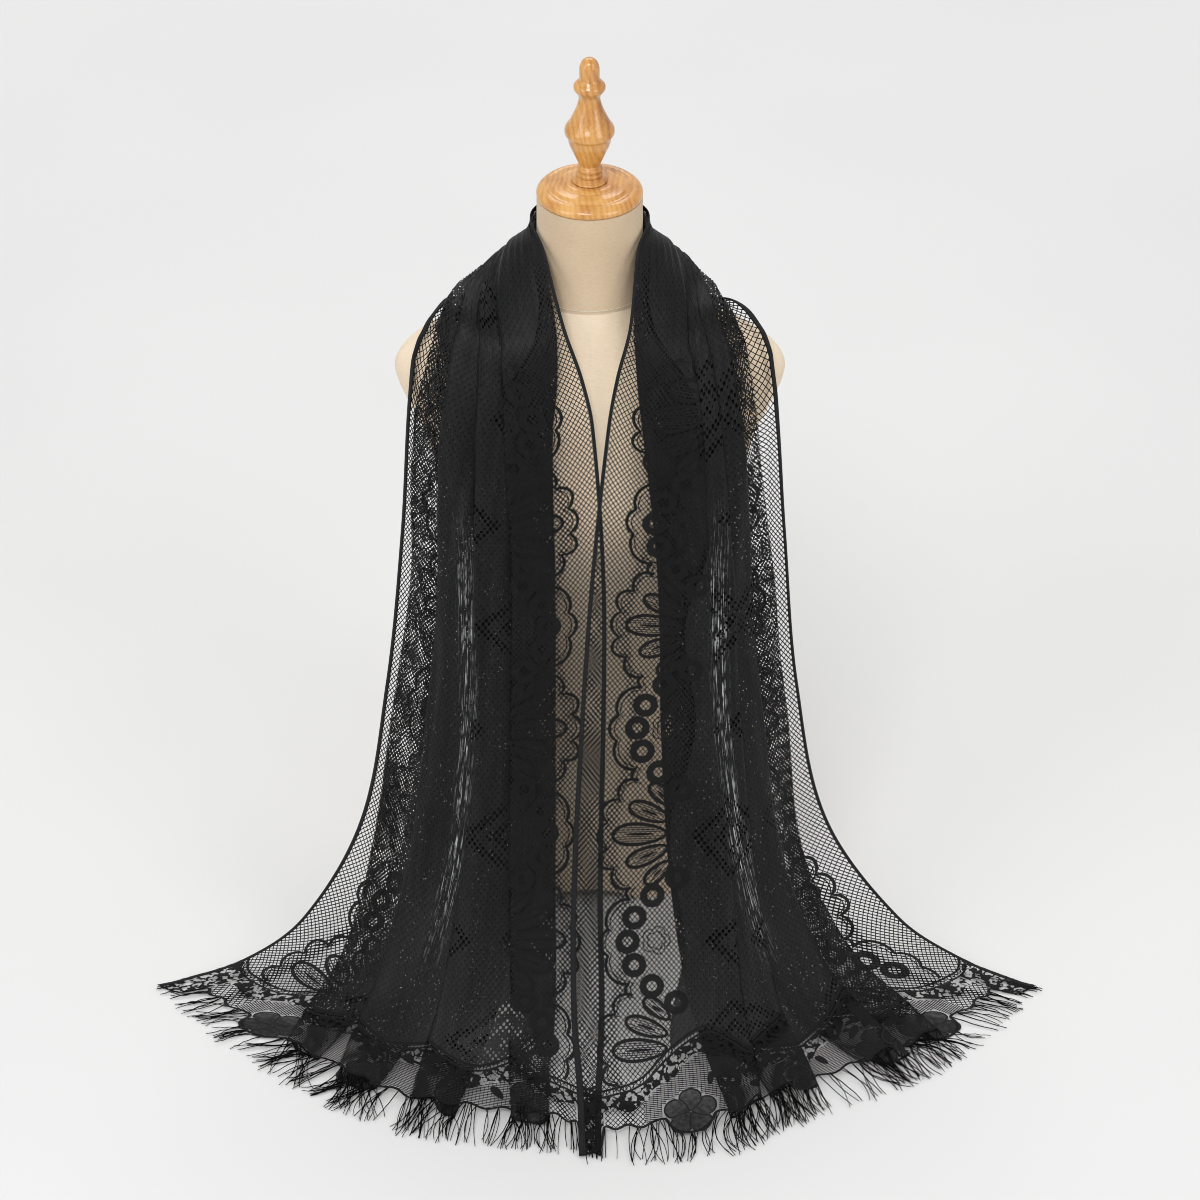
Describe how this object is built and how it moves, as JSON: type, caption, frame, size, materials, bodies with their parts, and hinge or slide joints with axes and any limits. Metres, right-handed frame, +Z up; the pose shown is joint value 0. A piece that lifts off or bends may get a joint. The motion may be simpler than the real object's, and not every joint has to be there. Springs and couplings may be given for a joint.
{
  "type": "lace scarf on a limbless dress form",
  "caption": "Long lace scarf hung round the neck of a limbless dress form, its two pleated ends standing out to a fringed hem on the table.",
  "frame": {"origin": "middle of the dress form's flat base, on the surface it stands on", "axes": "+Z up, -Y towards the front, where the scarf's ends fan out, +X to the viewer's right"},
  "size_m": [0.8497, 0.575, 0.863],
  "materials": {
    "lace": "fine warp-knitted lace with a soft sheen",
    "band": "dense dark knitted edge",
    "thread": "loose cut threads",
    "linen": "plain woven linen cover",
    "wood": "varnished honey-coloured wood"
  },
  "bodies": {
    "root": {"form_torso": "linen", "neck_cap": "wood", "finial": "wood", "scarf_neck": "lace", "scarf_left_front": "lace", "scarf_right_front": "lace", "edge_band_neck_inner": "band", "edge_band_neck_outer": "band", "edge_band_left_inner": "band", "edge_band_left_outer": "band", "edge_band_right_inner": "band", "edge_band_right_outer": "band", "fringe_left": "thread", "fringe_right": "thread"}
  },
  "joints": []
}
